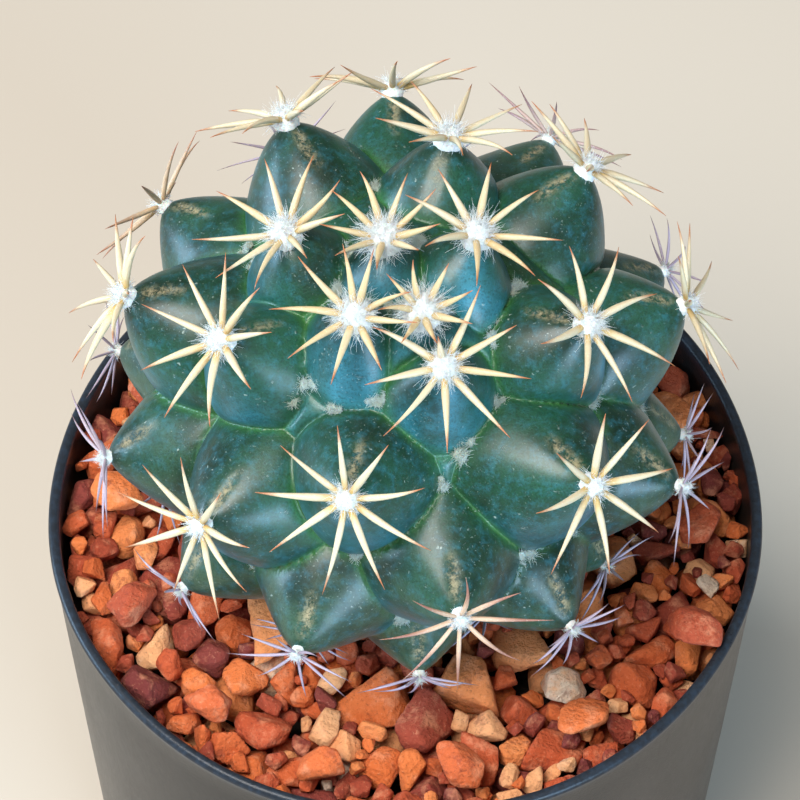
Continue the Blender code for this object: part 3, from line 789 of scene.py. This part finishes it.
class CACTUS_OT_axil_wool(bpy.types.Operator):
    """Tucks small tufts of wool into the junctions of the creases"""
    bl_idname = "cactus.axil_wool"
    bl_label = "Axil wool"

    def execute(self, context):
        settings = context.scene.cactus_wool
        random = np.random.default_rng(23)
        parts = [self.tuft(point, settings, random) for point in self.junctions() if random.random() < 0.75]
        if not parts:
            raise RuntimeError("no crease junctions were found for the axil wool")
        material = wool_material("axil wool", settings.axil_colour, settings.axil_shade)
        place_groups("axil_wool", parts, 6, material, "spine")
        return {"FINISHED"}

    def tuft(self, point, settings, random):
        """A few flat scraps of felt and short fibres, caught in a junction."""
        axis = unit(point - PLANT.centre)
        size = random.uniform(1.1, 1.9) * MM
        scraps = []
        for _ in range(5):
            shift = random.normal(size=3) * size * 0.6
            shift -= axis * (shift @ axis - 0.35 * size)
            scraps.append(wool_tuft(point + shift, axis, size * random.uniform(0.6, 1.0), size * 0.45, 150,
                                    settings, random.random(), random, 0.45))
        return merge(scraps)

    def junctions(self):
        """Where three tubercles meet, on the upper part of the globe."""
        skin = bpy.data.objects["cactus_skin"].data
        deep = np.array([item.value for item in skin.attributes["junction"].data])
        points = np.array([vert.co[:] for vert in skin.vertices])
        order = np.argsort(-deep)
        found = []
        for index in order[deep[order] > 0.6]:
            point = points[index]
            if point[2] > PLANT.centre[2] - 16 * MM and all(
                    np.linalg.norm(point - other) > 5 * MM for other in found):
                found.append(point)
        return found


# ---------------------------------------------------------------- stones
STONE_TONES = (                   # from dark red through orange to pale tan
    (0.00, (0.180, 0.034, 0.030)), (0.15, (0.330, 0.056, 0.028)), (0.40, (0.520, 0.092, 0.030)),
    (0.64, (0.700, 0.165, 0.040)), (0.85, (0.800, 0.265, 0.085)), (0.97, (0.820, 0.420, 0.200)),
    (1.00, (0.740, 0.580, 0.440)))


def stone_material(settings):
    graph = Graph("crushed stone")
    tone = graph.attribute("tone")
    mottle = graph.noise(2.5 * MM, 4, 0.6)
    grain = graph.noise(0.45 * MM, 4, 0.7)
    colour = graph.ramp(tone + 0.10 * (mottle - 0.5), STONE_TONES)
    light = graph.between(graph.noise(3.5 * MM, 5, 0.65), 0.50, 0.68)
    colour = graph.mix(light * 0.45, colour, settings.lit_colour)
    dark = graph.between(graph.noise(2.8 * MM, 5, 0.7), 0.46, 0.30)
    colour = graph.mix(dark * 0.55, colour, settings.dark_colour)
    colour = graph.mix(graph.between(grain, 0.56, 0.75) * 0.40, colour, settings.chalk_colour)
    colour = graph.mix(graph.between(grain, 0.44, 0.28) * 0.5, colour, settings.pit_colour)
    pits = graph.cells(0.7 * MM)
    return graph.finish({
        "Base Color": colour,
        "Roughness": 0.78 + 0.2 * mottle,
        "Normal": graph.bump(0.9 * grain + 0.9 * mottle + 0.4 * pits, 0.45 * MM),
        "Specular IOR Level": 0.3,
    })


class Stone:
    """A broken chip: the space behind a few planes round its middle."""

    def __init__(self, normals, offsets, tone):
        self.normals = normals
        self.offsets = offsets
        self.tone = tone
        self.middle = np.zeros(3)

    def heights(self, across, along):
        """Lowest and highest surface over a grid, and where the stone is."""
        flat = self.offsets - across[..., None] * self.normals[:, 0] - along[..., None] * self.normals[:, 1]
        rise = self.normals[:, 2]
        slope = np.where(np.abs(rise) < 1e-3, 1e-3, rise)
        level = flat / slope
        top = np.where(rise > 1e-3, level, np.inf).min(axis=-1)
        bottom = np.where(rise < -1e-3, level, -np.inf).max(axis=-1)
        return bottom, top, top > bottom

    def part(self, directions, faces, sharpness):
        """The stone's surface, with its edges slightly rounded."""
        facing = np.maximum(directions @ self.normals.T, 0) / self.offsets
        reach = np.sum(facing ** sharpness, axis=1) ** (-1 / sharpness)
        points = directions * reach[:, None] + self.middle
        return points, faces, {"tone": np.full(len(points), self.tone)}


def chip(random, size):
    """A random chip with this half length."""
    normals = [unit(random.normal(size=3))]
    planes = random.integers(8, 13)
    while len(normals) < planes:
        tries = unit(random.normal(size=(6, 3)))
        nearness = (tries @ np.array(normals).T).max(axis=1)
        normals.append(tries[np.argmin(nearness)])
    normals = np.array(normals)
    stretch = np.array((1.0, random.uniform(0.58, 0.88), random.uniform(0.42, 0.70)))
    offsets = size * np.linalg.norm(normals * stretch, axis=1) * random.uniform(0.72, 1.0, len(normals))
    lean = Matrix.Rotation(random.normal(0, 0.5), 3, "X") @ Matrix.Rotation(random.normal(0, 0.5), 3, "Y")
    turn = lean @ Matrix.Rotation(random.uniform(0, 2 * math.pi), 3, "Z")
    return Stone(normals @ np.array(turn).T, offsets, random.random())


def frame_stone(name, tone):
    """A loose stone of the frame, as planes round its middle."""
    corners, faces = node_mesh(name)
    middle = corners.mean(axis=0)
    normals, offsets = [], []
    for face in faces:
        first, second, third = (corners[index] for index in face[:3])
        normal = np.cross(second - first, third - first)
        if np.linalg.norm(normal) < 1e-12:
            continue
        normal = unit(normal)
        if all(normal @ other < 0.999 for other in normals):
            normals.append(normal)
            offsets.append(normal @ (first - middle))
    stone = Stone(np.array(normals), np.array(offsets), tone)
    stone.middle = middle
    return stone


class StoneBed:
    """Drops stones on a map of heights, under the stem and its low spines."""

    ALLOWED_RISE = 1.1 * MM       # of a large stone's top over the wanted surface
    GAP_RISE = -0.5 * MM          # of a small stone's top, which stays below the large ones
    GAP_SIZES = (1.25, 0.95, 0.7, 0.5)    # shares of the smallest chip
    WALL_GAP = 0.3 * MM
    CLEARANCE = 0.15 * MM         # under the stem, the spines and the frame's stones
    MISSES = 60                   # stones that find no place before the bed is called full
    TRIES = 5                     # spots tried for each stone
    GAP_ROUNDS = 170
    GAP_TRIES = 4
    ROLLS = 4

    def __init__(self, settings):
        self.settings = settings
        self.cell = settings.grid
        self.radius = self.inner_radius() - self.WALL_GAP
        self.count = int(2 * self.radius / self.cell) + 3
        self.low = -self.cell * (self.count - 1) / 2
        line = self.low + self.cell * np.arange(self.count)
        self.across, self.along = np.meshgrid(line, line, indexing="ij")
        distance = np.hypot(self.across, self.along)
        self.floor = np.full(distance.shape, SOIL_BOX[1].z)
        self.floor[distance > self.radius] = np.inf
        self.roof = self.roof_heights()
        slope = smooth_step(-30 * MM, 34 * MM, self.across - 0.35 * self.along)
        headspace = settings.left_headspace + (settings.right_headspace - settings.left_headspace) * slope
        self.target = RIM_HEIGHT - headspace
        self.stones = []

    def inner_radius(self):
        """Inside of the pot wall at the level of the soil's top."""
        corners, _ = node_mesh("pot")
        inside = corners[corners[:, 2] > RIM_HEIGHT - 3 * MM]
        return np.hypot(inside[:, 0], inside[:, 1]).min()

    def cells_of(self, points):
        return np.clip(np.round((points[:, :2] - self.low) / self.cell).astype(int), 0, self.count - 1)

    def roof_heights(self):
        """Lowest part of the stem and spines over each cell."""
        roof = np.full(self.floor.shape, np.inf)
        skin = bpy.data.objects["cactus_skin"].data
        points = np.array([vert.co[:] for vert in skin.vertices])
        self.lower_to(roof, points[points[:, 2] < PLANT.centre[2]], 1)
        for cluster in PLANT.clusters[16:]:
            for root, handle, tip in cluster.spines:
                share = np.linspace(0, 1, 40)[:, None]
                path = (1 - share) ** 2 * root + 2 * share * (1 - share) * handle + share ** 2 * tip
                self.lower_to(roof, path - (0, 0, 0.4 * MM), 0)
        return roof

    def lower_to(self, roof, points, spread):
        cells = self.cells_of(points)
        for right in range(-spread, spread + 1):
            for back in range(-spread, spread + 1):
                index = np.clip(cells + (right, back), 0, self.count - 1)
                np.minimum.at(roof, (index[:, 0], index[:, 1]), points[:, 2])

    def window(self, stone, size, spot):
        """The part of the grid round a spot, and the stone's surfaces over it."""
        near = int(size * 1.15 / self.cell) + 1
        middle = np.round((np.array(spot) - self.low) / self.cell).astype(int)
        start = np.clip(middle - near, 0, self.count - 1)
        stop = np.clip(middle + near + 1, 0, self.count)
        part = (slice(start[0], stop[0]), slice(start[1], stop[1]))
        return part, stone.heights(self.across[part] - spot[0], self.along[part] - spot[1])

    def rest(self, stone, size, spot):
        """Height at which a stone comes to rest over a spot, or None."""
        part, (bottom, top, inside) = self.window(stone, size, spot)
        if not inside.any():
            return None
        level = (self.floor[part] - bottom)[inside].max()
        if not np.isfinite(level) or ((level + top) > self.roof[part] - self.CLEARANCE)[inside].any():
            return None
        return level

    def settle(self, stone, size, spot, level):
        """Rolls a stone downhill in small steps."""
        for _ in range(self.ROLLS):
            moves = [(spot[0] + right * self.cell * 2, spot[1] + back * self.cell * 2)
                     for right, back in ((1, 0), (-1, 0), (0, 1), (0, -1))]
            levels = [(self.rest(stone, size, move), move) for move in moves]
            levels = [(value, move) for value, move in levels if value is not None and value < level - 0.02 * MM]
            if not levels:
                break
            level, spot = min(levels)
        return level, spot

    def cell_of(self, spot):
        return tuple(np.clip(np.round((np.array(spot) - self.low) / self.cell).astype(int), 0, self.count - 1))

    def drop(self, stone, size, spots, rise):
        """Puts a stone in the lowest place near these spots. False if it would stand too high."""
        best = None
        for spot in spots:
            level = self.rest(stone, size, spot)
            if level is None:
                continue
            level, spot = self.settle(stone, size, spot, level)
            if best is None or level < best[0]:
                best = (level, spot)
        if best is None:
            return False
        level, spot = best
        part, (_, top, inside) = self.window(stone, size, spot)
        if (level + top)[inside].max() > self.target[self.cell_of(spot)] + rise:
            return False
        stone.middle = np.array((*spot, level))
        self.floor[part][inside] = np.maximum(self.floor[part], level + top)[inside]
        self.stones.append(stone)
        return True

    def keep_clear(self, stone, size):
        """Leaves the room that a stone of the frame takes."""
        part, (bottom, _, inside) = self.window(stone, size, stone.middle[:2])
        under = stone.middle[2] + bottom - self.CLEARANCE
        self.roof[part][inside] = np.minimum(self.roof[part], under)[inside]

    def fill(self):
        """Large and small stones first, then ever smaller ones in the gaps that are left."""
        random = np.random.default_rng(self.settings.seed)
        span = self.settings.largest - self.settings.smallest
        misses = 0
        while misses < self.MISSES:
            size = self.settings.smallest + span * random.beta(1.9, 1.5)
            turns = random.uniform(0, 2 * math.pi, self.TRIES)
            outs = self.radius * np.sqrt(random.uniform(0.1, 1, self.TRIES))
            spots = list(zip(outs * np.cos(turns), outs * np.sin(turns)))
            if not self.drop(chip(random, size), size, spots, self.ALLOWED_RISE):
                misses += 1
        for share in self.GAP_SIZES:
            self.fill_gaps(random, self.settings.smallest * share)

    def fill_gaps(self, random, size):
        """Drops stones of one size wherever the surface is still too low."""
        for _ in range(self.GAP_ROUNDS):
            open_cells = (self.floor < self.target - 1.6 * size) & (self.floor < self.roof - 1.7 * size)
            cells = np.argwhere(open_cells & np.isfinite(self.floor))
            if not len(cells):
                return
            picked = cells[random.integers(len(cells), size=self.GAP_TRIES)]
            actual = size * random.uniform(0.85, 1.15)
            self.drop(chip(random, actual), actual, list(self.low + self.cell * picked), self.GAP_RISE)


class CACTUS_OT_stones(bpy.types.Operator):
    """Fills the top of the pot with crushed stone"""
    bl_idname = "cactus.stones"
    bl_label = "Stones"

    LOOSE_REACH = 5 * MM          # more than the half width of any loose stone
    SEEN_DEPTH = 9 * MM           # stones deeper than this under the rim are kept plain
    ROUGHNESS = 0.055
    GROUP = 100                   # stones in one piece

    def execute(self, context):
        settings = context.scene.cactus_stones
        bed = StoneBed(settings)
        material = stone_material(settings)
        random = np.random.default_rng(3)
        loose = [frame_stone(name, random.uniform(0.2, 0.85)) for name in LOOSE_STONE_NAMES]
        for stone in loose:
            if np.hypot(*stone.middle[:2]) < bed.radius:
                bed.keep_clear(stone, self.LOOSE_REACH)
        bed.fill()
        loose_directions, fine, coarse = sphere(5), sphere(4), sphere(3)
        for name, stone in zip(LOOSE_STONE_NAMES, loose):
            part = self.roughened(stone.part(*loose_directions, 16), stone.middle, random)
            place(mesh_object(name.replace("loose", "top"), *part), material, "crushed_stone", name)
        parts = []
        for stone in bed.stones:
            buried = stone.middle[2] < RIM_HEIGHT - self.SEEN_DEPTH
            part = stone.part(*(coarse if buried else fine), random.uniform(10, 26))
            parts.append(part if buried else self.roughened(part, stone.middle, random))
        place_groups("stone_bed", parts, self.GROUP, material, "crushed_stone", "gravel_bed")
        return {"FINISHED"}

    def roughened(self, part, middle, random):
        """The same stone with an uneven surface."""
        points, faces, values = part
        out = points - middle
        uneven = lumps(out, 2.0 * MM, random.uniform(0, 90)) + 0.6 * lumps(out, 0.8 * MM, random.uniform(0, 90))
        return middle + out * (1 + self.ROUGHNESS * uneven)[:, None], faces, values


# ---------------------------------------------------------------- pot and soil
def pot_material(settings):
    graph = Graph("pot plastic")
    rim = graph.attribute("rim")
    streaks = graph.noise(15 * MM, 2, 0.4, graph.stretch((1, 1, 0.05)))
    clouds = graph.noise(30 * MM, 3, 0.5)
    scuffs = graph.noise(0.8 * MM, 4, 0.7, graph.stretch((1, 1, 0.35)))
    grain = graph.noise(0.35 * MM, 2)
    # brown vertical streaks on the wall: a painted reflection of the room in the plastic
    reflection_streaks = graph.between(streaks, 0.36, 0.76) * graph.between(clouds, 0.30, 0.70) * (1 - rim)
    specks = (1 - graph.between(graph.cells(2.3 * MM), 0.03, 0.09)) * graph.between(clouds, 0.42, 0.60)
    colour = graph.mix(reflection_streaks * 0.26, settings.plastic_colour, settings.dust_and_reflection_colour)
    colour = graph.mix(specks * 0.35, colour, settings.dust_and_reflection_colour)
    # rim tint: scuffed wear and a painted sheen together
    rim_wear_and_sheen = rim * (0.40 + 0.6 * graph.between(scuffs, 0.40, 0.65))
    colour = graph.mix(rim_wear_and_sheen, colour, settings.rim_wear_and_sheen_colour)
    return graph.finish({
        "Base Color": colour,
        "Roughness": 0.20 + 0.22 * reflection_streaks + 0.12 * scuffs + 0.08 * clouds,
        "Specular IOR Level": 0.20,
        "Normal": graph.bump(grain + 0.6 * scuffs, 0.03 * MM),
    })


def soil_material():
    graph = Graph("potting soil")
    crumbs = graph.noise(1.8 * MM, 6, 0.7)
    colour = graph.ramp(crumbs, (
        (0.3, (0.010, 0.007, 0.005)), (0.55, (0.035, 0.022, 0.014)), (0.75, (0.09, 0.06, 0.04))))
    return graph.finish({"Base Color": colour, "Roughness": 0.95, "Normal": graph.bump(crumbs, 1.2 * MM)})


def arc(centre, radius, start, end, steps):
    """Points of an arc in the (radius, height) plane, with its angles in degrees."""
    angles = np.radians(np.linspace(start, end, steps))
    return [(centre[0] + radius * math.cos(angle), centre[1] + radius * math.sin(angle)) for angle in angles]


def turned(name, profile, segments):
    """A solid turned about the Z axis from (radius, height) points that begin and end on it."""
    mesh_bm = bmesh.new()
    verts = [mesh_bm.verts.new((radius, 0, height)) for radius, height in profile]
    edges = [mesh_bm.edges.new(pair) for pair in zip(verts, verts[1:])]
    bmesh.ops.spin(mesh_bm, geom=verts + edges, cent=(0, 0, 0), axis=(0, 0, 1), angle=2 * math.pi,
                   steps=segments, use_merge=True)
    bmesh.ops.remove_doubles(mesh_bm, verts=mesh_bm.verts[:], dist=0.001 * MM)
    bmesh.ops.recalc_face_normals(mesh_bm, faces=mesh_bm.faces[:])
    mesh = bpy.data.meshes.new(name)
    mesh_bm.to_mesh(mesh)
    mesh_bm.free()
    made = bpy.data.objects.new(name, mesh)
    bpy.context.scene.collection.objects.link(made)
    return made


def in_fixed_order(mesh):
    """The same mesh with its corners and faces sorted, because a Boolean's order changes from run to run."""
    corners = [tuple(vert.co) for vert in mesh.vertices]
    order = sorted(range(len(corners)), key=lambda index: corners[index])
    rank = {index: place_in_order for place_in_order, index in enumerate(order)}
    rings = [[rank[index] for index in face.vertices] for face in mesh.polygons]
    faces = sorted(ring[ring.index(min(ring)):] + ring[:ring.index(min(ring))] for ring in rings)
    ordered = bpy.data.meshes.new("nursery_pot")
    ordered.from_pydata([corners[index] for index in order], [], faces)
    return ordered


class CACTUS_OT_pot(bpy.types.Operator):
    """Turns the plastic nursery pot"""
    bl_idname = "cactus.pot"
    bl_label = "Pot"

    BASE_RADIUS = 45.5 * MM
    WALL = 1.2 * MM
    BEAD = 0.8 * MM
    FOOT_WIDTH = 5 * MM
    FOOT_HEIGHT = 2.5 * MM
    FLOOR = 1.6 * MM
    FOOT_ROUND = 1.2 * MM
    HOLES = 5
    HOLE_RADIUS = 3.5 * MM
    HOLE_CIRCLE = 26 * MM
    SWAY = 0.22 * MM              # three slow waves round the rim
    RIPPLE = 0.12 * MM            # seven faster ones
    TUCK = 0.3 * MM               # keeps the bent rim inside the frame's

    def execute(self, context):
        settings = context.scene.cactus_pot
        made = turned("nursery_pot", self.profile(), settings.segments)
        self.drill(made)
        drilled = bpy.data.meshes.new_from_object(
            made.evaluated_get(bpy.context.evaluated_depsgraph_get()))
        made.modifiers.clear()
        made.data = in_fixed_order(drilled)
        bpy.data.objects.remove(bpy.data.objects["drain_holes"], do_unlink=True)
        self.bend_and_mark_rim(made.data)
        place(made, pot_material(settings), "pot_plastic", "pot")
        return {"FINISHED"}

    def outer(self, height):
        """Radius of the outside of the wall, which flares evenly up to the rim."""
        rim = POT_BOX[1].x - self.BEAD * 0.25
        return self.BASE_RADIUS + (rim - self.BASE_RADIUS) * height / RIM_HEIGHT

    def profile(self):
        """Half outline of the pot: floor, foot, outside of the wall, rim bead and inside."""
        floor_top = self.FOOT_HEIGHT + self.FLOOR
        wall_top = RIM_HEIGHT - 3 * self.BEAD
        bead = (POT_BOX[1].x - self.BEAD, RIM_HEIGHT - self.BEAD)
        foot = (self.BASE_RADIUS - self.FOOT_ROUND, self.FOOT_ROUND)
        heights = np.linspace(6 * MM, wall_top, 22)
        outline = [(0, self.FOOT_HEIGHT), (self.BASE_RADIUS - self.FOOT_WIDTH, self.FOOT_HEIGHT)]
        outline += arc((self.BASE_RADIUS - self.FOOT_WIDTH + 0.4 * MM, 0.4 * MM), 0.4 * MM, 180, 270, 4)
        outline += arc(foot, self.FOOT_ROUND, -90, 0, 7)
        outline += [(self.outer(height), height) for height in heights]
        outline += arc(bead, self.BEAD, -20, 180, 13)
        outline += [(self.outer(height) - self.WALL, height) for height in heights[::-1]]
        outline += [(self.outer(floor_top) - self.WALL, floor_top), (0, floor_top)]
        return outline

    def drill(self, made):
        """Cuts the drain holes through the floor."""
        cutters = bmesh.new()
        for number in range(self.HOLES):
            angle = 2 * math.pi * number / self.HOLES
            across, along = self.HOLE_CIRCLE * math.cos(angle), self.HOLE_CIRCLE * math.sin(angle)
            at = Matrix.Translation((across, along, 3 * MM))
            bmesh.ops.create_cone(cutters, cap_ends=True, segments=32, radius1=self.HOLE_RADIUS,
                                  radius2=self.HOLE_RADIUS, depth=8 * MM, matrix=at)
        mesh = bpy.data.meshes.new("drain_holes")
        cutters.to_mesh(mesh)
        cutters.free()
        cutter = bpy.data.objects.new("drain_holes", mesh)
        bpy.context.scene.collection.objects.link(cutter)
        holes = made.modifiers.new("drain holes", "BOOLEAN")
        holes.operation = "DIFFERENCE"
        holes.object = cutter

    def bend_and_mark_rim(self, mesh):
        """Bends the wall very slightly, and marks the rim, which the material tints a pale blue: partly wear,
        partly a painted sheen.
        """
        for vert in mesh.vertices:
            height = vert.co.z / RIM_HEIGHT
            turn = math.atan2(vert.co.y, vert.co.x)
            bend = self.SWAY * height ** 2 * math.sin(3 * turn + 0.6) + self.RIPPLE * height * math.sin(7 * turn)
            vert.co.xy *= 1 - (bend + self.TUCK * height ** 2) / self.outer(vert.co.z)
        heights = np.array([vert.co.z for vert in mesh.vertices])
        layer = mesh.attributes.new("rim", "FLOAT", "POINT")
        rim = smooth_step(RIM_HEIGHT - 2.2 * MM, RIM_HEIGHT - 0.9 * MM, heights)
        layer.data.foreach_set("value", rim.astype(np.float32))
        mesh.shade_smooth()


class CACTUS_OT_soil(bpy.types.Operator):
    """Gives the potting soil its crumbly finish"""
    bl_idname = "cactus.soil"
    bl_label = "Soil"

    def execute(self, context):
        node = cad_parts["potting_soil"]
        node.data.materials.clear()
        node.data.materials.append(soil_material())
        return {"FINISHED"}


# ---------------------------------------------------------------- stage
def area_light(name, place_at, aim, size, power, colour):
    """A soft square light that faces a point."""
    data = bpy.data.lights.new(name, "AREA")
    data.size = size
    data.energy = power
    data.color = colour
    light = bpy.data.objects.new(name, data)
    light.location = place_at
    light.rotation_euler = (Vector(aim) - Vector(place_at)).to_track_quat("-Z", "Y").to_euler()
    bpy.context.scene.collection.objects.link(light)


class CACTUS_OT_stage(bpy.types.Operator):
    """Adds the floor, the lights and the camera"""
    bl_idname = "cactus.stage"
    bl_label = "Stage"

    FLOOR_HALF = 12.0
    SUN_WHITE = (1.0, 0.98, 0.95)
    WINDOW_BLUE = (0.50, 0.75, 1.0)
    ELEVATION = math.radians(56.79)
    DISTANCE = 0.6286
    AIM = (-0.97 * MM, 17.14 * MM, RIM_HEIGHT)
    ROLL = math.radians(0.335)
    LENS = 200

    def execute(self, context):
        settings = context.scene.cactus_stage
        self.floor(settings)
        self.lights(settings, context.scene)
        self.camera(context.scene)
        return {"FINISHED"}

    def floor(self, settings):
        graph = Graph("floor")
        tone = graph.noise(0.4, 3)
        colour = graph.mix(tone * 0.12, settings.floor_colour, settings.floor_shade)
        graph.finish({"Base Color": colour, "Roughness": 0.9, "Specular IOR Level": 0.0})
        half = self.FLOOR_HALF
        corners = ((-half, -half, 0), (half, -half, 0), (half, half, 0), (-half, half, 0))
        floor = mesh_object("floor", corners, [(0, 1, 2, 3)])
        floor.data.materials.append(graph.material)

    def lights(self, settings, scene):
        middle = (0, 0, RIM_HEIGHT + 20 * MM)
        area_light("key", (-0.26, -0.24, 0.92), middle, 0.50, settings.key_power, self.SUN_WHITE)
        area_light("front fill", (0.80, -1.36, 0.46), middle, 0.8, settings.fill_power, self.WINDOW_BLUE)
        area_light("side fill", (-1.60, 0.10, 0.46), middle, 0.8, settings.fill_power, self.WINDOW_BLUE)
        world = bpy.data.worlds.new("soft room")
        world.use_nodes = True
        background = world.node_tree.nodes["Background"]
        background.inputs["Color"].default_value = (0.92, 0.96, 1.0, 1)
        background.inputs["Strength"].default_value = settings.sky_strength
        scene.world = world
        scene.view_settings.view_transform = "Standard"

    def camera(self, scene):
        back = Vector((0, -math.cos(self.ELEVATION), math.sin(self.ELEVATION)))
        right = Vector((1, 0, 0))
        up = back.cross(right)
        turned_right = math.cos(self.ROLL) * right + math.sin(self.ROLL) * up
        turned_up = -math.sin(self.ROLL) * right + math.cos(self.ROLL) * up
        pose = Matrix((turned_right, turned_up, back)).transposed().to_4x4()
        pose.translation = Vector(self.AIM) + self.DISTANCE * back
        data = bpy.data.cameras.new("camera")
        data.lens = self.LENS
        data.sensor_width = 36
        camera = bpy.data.objects.new("camera", data)
        camera.matrix_world = pose
        scene.collection.objects.link(camera)
        scene.camera = camera


# ---------------------------------------------------------------- add-on
class CACTUS_PT_panel(bpy.types.Panel):
    """Sidebar tab of the potted cactus"""
    bl_idname = "CACTUS_PT_panel"
    bl_label = "Potted round cactus"
    bl_space_type = "VIEW_3D"
    bl_region_type = "UI"
    bl_category = "Cactus"

    def draw(self, context):
        for group, operators in SECTIONS:
            box = self.layout.box()
            settings = getattr(context.scene, group)
            for name in settings.bl_rna.properties.keys():
                if name not in {"rna_type", "name"}:
                    box.prop(settings, name)
            for operator in operators:
                box.operator(operator.bl_idname)


SETTINGS = {
    "cactus_stem": StemSettings,
    "cactus_spines": SpineSettings,
    "cactus_wool": WoolSettings,
    "cactus_stones": StoneSettings,
    "cactus_pot": PotSettings,
    "cactus_stage": StageSettings,
}
SECTIONS = (
    ("cactus_stem", (CACTUS_OT_stem,)),
    ("cactus_spines", (CACTUS_OT_spines,)),
    ("cactus_wool", (CACTUS_OT_areole_wool, CACTUS_OT_axil_wool)),
    ("cactus_stones", (CACTUS_OT_stones,)),
    ("cactus_pot", (CACTUS_OT_pot, CACTUS_OT_soil)),
    ("cactus_stage", (CACTUS_OT_stage,)),
)
CLASSES = (*SETTINGS.values(), *(operator for _, group in SECTIONS for operator in group), CACTUS_PT_panel)


def register():
    for item in CLASSES:
        bpy.utils.register_class(item)
    for name, group in SETTINGS.items():
        setattr(bpy.types.Scene, name, PointerProperty(type=group))


def unregister():
    for name in SETTINGS:
        delattr(bpy.types.Scene, name)
    for item in reversed(CLASSES):
        bpy.utils.unregister_class(item)


def main():
    """Builds every piece and the stage."""
    register()
    bpy.ops.cactus.stem()
    bpy.ops.cactus.spines()
    bpy.ops.cactus.areole_wool()
    bpy.ops.cactus.axil_wool()
    bpy.ops.cactus.stones()
    bpy.ops.cactus.pot()
    bpy.ops.cactus.soil()
    bpy.ops.cactus.stage()


if __name__ == "__main__":
    main()
